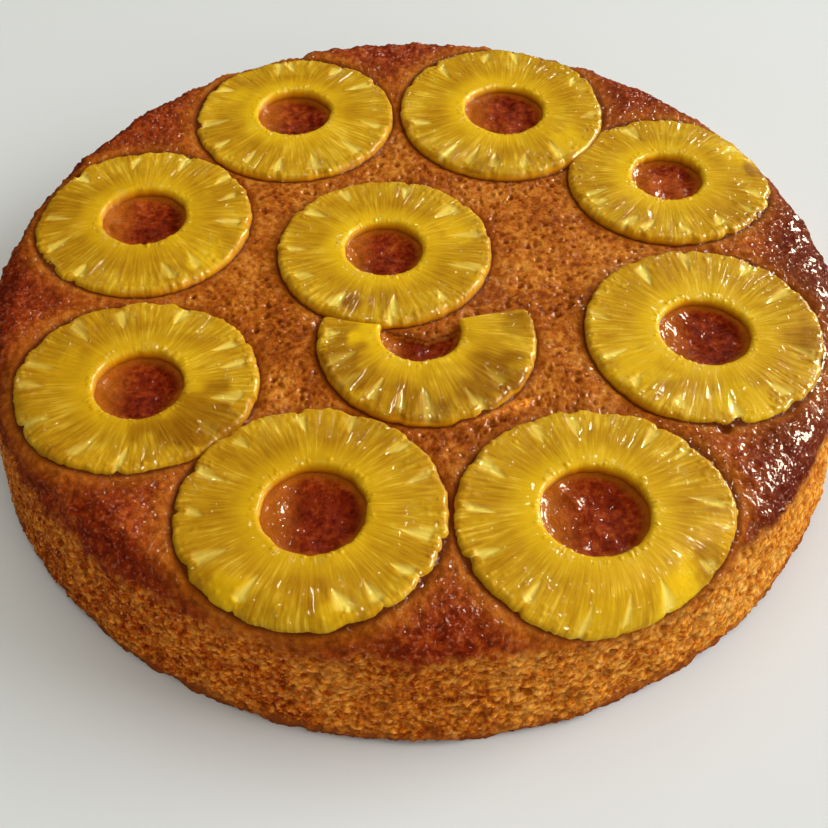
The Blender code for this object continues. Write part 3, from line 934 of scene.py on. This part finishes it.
# %% Colours of the crumb and the caramel
# Noise scales are per metre: 60 gives patches of about 17 mm, 420 to 560 grains of 2 mm, and 900
# painted glints of 1 mm.
def side_colours(tree, marks, here, broad, glint_noise):
    """Torn golden crumb, painted darker and redder on its shaded left, with painted glints on it."""
    torn = add(tree, "TexNoise", {"Scale": 520.0, "Detail": 3.0, "Roughness": 0.62}, here)
    crumbly = add(tree, "Mix", {0: 0.72}, {2: (broad, "Fac"), 3: (torn, "Fac")})
    pale_side = add(tree, "ValToRGB", links={"Fac": (crumbly, 0)},
                    stops=[(0.38, "#b8540c"), (0.5, "#f29c28"), (0.62, "#ffc35c")])
    dark_side = add(tree, "ValToRGB", links={"Fac": (crumbly, 0)},
                    stops=[(0.39, "#882602"), (0.5, "#d8690a"), (0.6, "#fca234")])
    # Painted shade: darker, redder crumb towards the left.
    toasted = add(tree, "Mix", links={0: marks["toasted"], 6: (pale_side, 0), 7: (dark_side, 0)})
    # Painted highlights: pale specks stand for small glints on the crumb.
    side_glints = add(tree, "MapRange", {"From Min": 0.7, "From Max": 0.77, "To Max": 0.6},
                {"Value": (glint_noise, "Fac")})
    return add(tree, "Mix", {7: "#ffc07a"}, {0: (side_glints, 0), 6: (toasted, 2)})


def top_colours(tree, marks, mottled, glint_noise):
    """Baked crumb, caramel on the mound and burnt caramel at its edge, with painted glints on it.

    Gives the node of these colours and the one of burnt caramel alone.
    """
    middle = add(tree, "ValToRGB", links={"Fac": (mottled, 0)},
                 stops=[(0.38, "#7c3204"), (0.5, "#aa580c"), (0.63, "#d0852c")])
    caramel = add(tree, "ValToRGB", links={"Fac": (mottled, 0)},
                  stops=[(0.38, "#6c1c04"), (0.5, "#963a0a"), (0.63, "#c0661a")])
    burnt = add(tree, "ValToRGB", links={"Fac": (mottled, 0)},
                stops=[(0.38, "#580f03"), (0.5, "#842606"), (0.63, "#ae5016")])
    baked = add(tree, "Mix", links={0: marks["caramel"], 6: (middle, 0), 7: (caramel, 0)})
    darkest = add(tree, "Mix", {7: "#4c0e03"}, {0: marks["singed"], 6: (burnt, 0)})
    rim = add(tree, "Mix", links={0: marks["burnt"], 6: (baked, 2), 7: (darkest, 2)})
    # Painted highlights: pale specks on the burnt caramel stand for small glints.
    glint_specks = add(tree, "MapRange", {"From Min": 0.62, "From Max": 0.72, "To Max": 0.32},
                {"Value": (glint_noise, "Fac")})
    painted_glints = add(tree, "Math", links={0: (glint_specks, 0), 1: marks["burnt"]}, operation="MULTIPLY")
    glint_specked = add(tree, "Mix", {7: "#c07a58"}, {0: (painted_glints, 0), 6: (rim, 2)})
    return glint_specked, burnt


# %% Sponge finish
def caramelled_sponge():
    """Baked butter sponge with caramel: golden matt crumb, red-brown and glossy where sugared."""
    material, tree, output = new_material("caramelled_butter_sponge")
    marks = {name: (add(tree, "Attribute", attribute_name=name), "Fac")
             for name in "caramel burnt singed toasted syrup pore well dark side foot".split()}
    here = {"Vector": (add(tree, "TexCoord"), "Object")}
    broad = add(tree, "TexNoise", {"Scale": 60.0, "Detail": 3.0}, here)
    grain = add(tree, "TexNoise", {"Scale": 420.0, "Detail": 4.0, "Roughness": 0.65}, here)
    spray = add(tree, "TexNoise", {"Scale": 560.0, "Detail": 1.0}, here)
    glint_noise = add(tree, "TexNoise", {"Scale": 900.0, "Detail": 0.0}, here)
    droplet = add(tree, "MapRange", {"From Min": 0.54, "From Max": 0.78}, {"Value": (spray, "Fac")})
    calm = add(tree, "MapRange", {"To Min": 1.0, "To Max": 0.35}, {"Value": marks["well"]})
    rippled = add(tree, "Math", links={0: (droplet, 0), 1: (calm, 0)}, operation="MULTIPLY")
    mottled = add(tree, "Mix", {0: 0.6}, {2: (broad, "Fac"), 3: (grain, "Fac")})
    glint_specked, burnt = top_colours(tree, marks, mottled, glint_noise)
    golden = side_colours(tree, marks, here, broad, glint_noise)
    skins = add(tree, "Mix", links={0: marks["side"], 6: (glint_specked, 2), 7: (golden, 2)})
    soaked = add(tree, "Math", {1: 0.75}, {0: marks["syrup"]}, operation="MULTIPLY")
    syrup = add(tree, "Mix", {6: "#8a4206", 7: "#ac600e"}, {0: marks["caramel"]})
    wet = add(tree, "Mix", links={0: (soaked, 0), 6: (skins, 2), 7: (syrup, 2)})
    # Painted shade: a thin dark line in the gap where the crumb meets a ring's rim.
    gap_shade = add(tree, "MapRange", {"From Min": 0.6, "From Max": 0.93, "To Max": 0.85},
                {"Value": marks["syrup"]})
    lined = add(tree, "Mix", {7: "#501c04"}, {0: (gap_shade, 0), 6: (wet, 2)})
    # Orange on a well's left, dark on its right: partly painted shade of the ring's wall.
    floor_of_well = add(tree, "Mix", {6: "#a85a0c"}, {0: marks["dark"], 7: (burnt, 0)})
    welled = add(tree, "Mix", links={0: marks["well"], 6: (lined, 2), 7: (floor_of_well, 2)})
    shaded = add(tree, "MapRange", {"To Min": 0.45, "To Max": 0.66}, {"Value": marks["side"]})
    # Painted shade: pores, crevices and open bubbles are darkened, more on the side.
    hollow = add(tree, "Math", links={0: (shaded, 0), 1: marks["pore"]}, operation="MULTIPLY")
    pored = add(tree, "Mix", {7: "#6c2204"}, {0: (hollow, 0), 6: (welled, 2)})
    footed = add(tree, "Mix", {7: "#8a4216"}, {0: marks["foot"], 6: (pored, 2)})
    sugared = add(tree, "Math", links={0: marks["caramel"], 1: marks["syrup"]}, operation="MAXIMUM")
    glazed = add(tree, "Math", links={0: (sugared, 0), 1: marks["well"]}, operation="MAXIMUM")
    coat = add(tree, "MapRange", {"To Min": 0.35, "To Max": 0.85}, {"Value": (glazed, 0)})
    dried = add(tree, "Mix", {3: 0.3}, {0: marks["side"], 2: (coat, 0)})
    bump = add(tree, "Bump", {"Strength": 0.8, "Distance": 0.001}, {"Height": (grain, "Fac")})
    wet_bump = add(tree, "Bump", {"Strength": 1.0, "Distance": 0.0008}, {"Height": (rippled, 0)})
    shader = add(tree, "BsdfPrincipled", {
        "Roughness": 0.75, "IOR": 1.4, "Specular IOR Level": 0.1, "Coat Roughness": 0.04,
        "Coat IOR": SYRUP_IOR, "Subsurface Weight": 0.12, "Subsurface Scale": 0.002,
        "Subsurface Radius": (1.0, 0.35, 0.1),
    }, {"Base Color": (footed, 2), "Coat Weight": (dried, 0), "Normal": (bump, 0),
        "Coat Normal": (wet_bump, 0)})
    tree.links.new(shader.outputs["BSDF"], output.inputs["Surface"])
    print("made", material.name, "with", len(tree.nodes), "nodes")
    return material


sponge = caramelled_sponge()

# %% Borders that meet and skirts inside the cake
NORMAL_STEP = 0.7
CORE_DEPTH = 14.0
TOP_INNER = 0.97
SIDE_INNER = 0.75


def skin_normals(x, y):
    """Outward directions of the skin, from its slopes over a small step both ways.

    Two pieces get the same directions where they meet, so no line shows there.
    """
    across = crumb(x + NORMAL_STEP, y)[0] - crumb(x - NORMAL_STEP, y)[0]
    along = crumb(x, y + NORMAL_STEP)[0] - crumb(x, y - NORMAL_STEP)[0]
    normals = np.cross(across, along)
    return normals / np.linalg.norm(normals, axis=-1, keepdims=True)


def smooth_borders(mesh, borders):
    """Give border points their skin's directions. All others keep zeros, which mean their own."""
    normals = np.zeros((len(mesh.vertices), 3))
    for numbers, x, y in borders:
        normals[numbers] = skin_normals(x, y)
    mesh.normals_split_custom_set_from_vertices(normals)


def inner_loop(loop, share):
    """A copy of a loop of points, drawn in to this share of its width and down into the cake."""
    inner = loop.copy()
    inner[:, :2] *= share
    inner[:, 2] -= CORE_DEPTH
    return inner


def flat_marks(marks, again):
    """Marks as plain lists, with those of some points repeated for the loop inside the cake."""
    listed = {name: values.ravel() for name, values in marks.items()}
    return {name: np.concatenate([values, values[again]]) for name, values in listed.items()}


print("skirts reach", CORE_DEPTH, "mm into the cake")

# %% Bands of the skin
RIM_ROWS = 86
SIDE_ROWS = 66


def add_band(name, turn, first_arc, last_arc, rows):
    """A band of the skin between two arc lengths, closed by skirts that meet inside the cake.

    Where the band ends at the foot, its last row is flat on the table.
    """
    at_foot = last_arc == FOOT_ARC
    arc = np.linspace(first_arc, last_arc, rows)[:, None]
    points, marks = crumb(arc * np.cos(turn), arc * np.sin(turn))
    columns = points.shape[1]
    column = np.arange(columns)
    beyond = np.roll(column, -1)
    inner = rows * columns
    last = inner - columns
    faces = grid_faces(rows, columns, False, True)[:, ::-1].tolist()
    faces += np.stack([column, beyond, inner + beyond, inner + column], axis=-1).tolist()
    borders = [(column, first_arc * np.cos(turn[0]), first_arc * np.sin(turn[0]))]
    if at_foot:
        points[-1, :, 2] = 0.0
        faces += [(inner + column).tolist(), (last + column)[::-1].tolist()]
    else:
        skirt = [last + column, inner + column, inner + beyond, last + beyond]
        faces += np.stack(skirt, axis=-1).tolist()
        borders.append((last + column, last_arc * np.cos(turn[0]), last_arc * np.sin(turn[0])))
    inside = inner_loop(points[0], SIDE_INNER if at_foot else TOP_INNER)
    piece = add_piece(name, np.concatenate([points.reshape(-1, 3), inside]), faces,
                      ["sponge"], sponge, flat_marks(marks, column))
    smooth_borders(piece.data, borders)


# %% Make the sponge
x, y = disc_grid(DISC_CELLS, DISC_ARC)
points, marks = crumb(x, y)
points = points.reshape(-1, 3)
border = border_loop(DISC_CELLS)
inside = x.size + np.arange(border.size)
faces = grid_faces(DISC_CELLS + 1, DISC_CELLS + 1, False, False).tolist()
faces += np.stack([border, inside, np.roll(inside, -1), np.roll(border, -1)], axis=-1).tolist()
faces.append(inside[::-1].tolist())
closed = np.concatenate([points, inner_loop(points[border], TOP_INNER)])
middle = add_piece("sponge_middle", closed, faces, ["sponge"], sponge,
                   flat_marks(marks, border))
smooth_borders(middle.data, [(border, x.ravel()[border], y.ravel()[border])])

turn = np.arctan2(y.ravel()[border], x.ravel()[border])[None, :]
add_band("sponge_rim", turn, DISC_ARC, SEAM_ARC, RIM_ROWS)
add_band("sponge_side", turn, SEAM_ARC, FOOT_ARC, SIDE_ROWS)

# %% [markdown]
# The floor is a plain pale table, only there to catch the cake's soft shadow. It is matt paint
# with no gloss of its own, because a glossy one would show the bright panes.

# %% Floor
FLOOR_REACH = 4.0
PAINT_ROUGHNESS = 0.8
floor_mesh = bpy.data.meshes.new("floor")
corners = [(-FLOOR_REACH, -FLOOR_REACH, 0), (FLOOR_REACH, -FLOOR_REACH, 0),
           (FLOOR_REACH, FLOOR_REACH, 0), (-FLOOR_REACH, FLOOR_REACH, 0)]
floor_mesh.from_pydata(corners, [], [(0, 1, 2, 3)])
material, tree, output = new_material("painted_table")
paint = add(tree, "BsdfPrincipled", {"Base Color": "#d6d7d4", "Roughness": PAINT_ROUGHNESS,
                                     "Specular IOR Level": 0.0})
tree.links.new(paint.outputs["BSDF"], output.inputs["Surface"])
floor_mesh.materials.append(material)
floor = bpy.data.objects.new("floor", floor_mesh)
bpy.context.scene.collection.objects.link(floor)
floor.visible_glossy = False
print("floor reaches", FLOOR_REACH, "m each way")
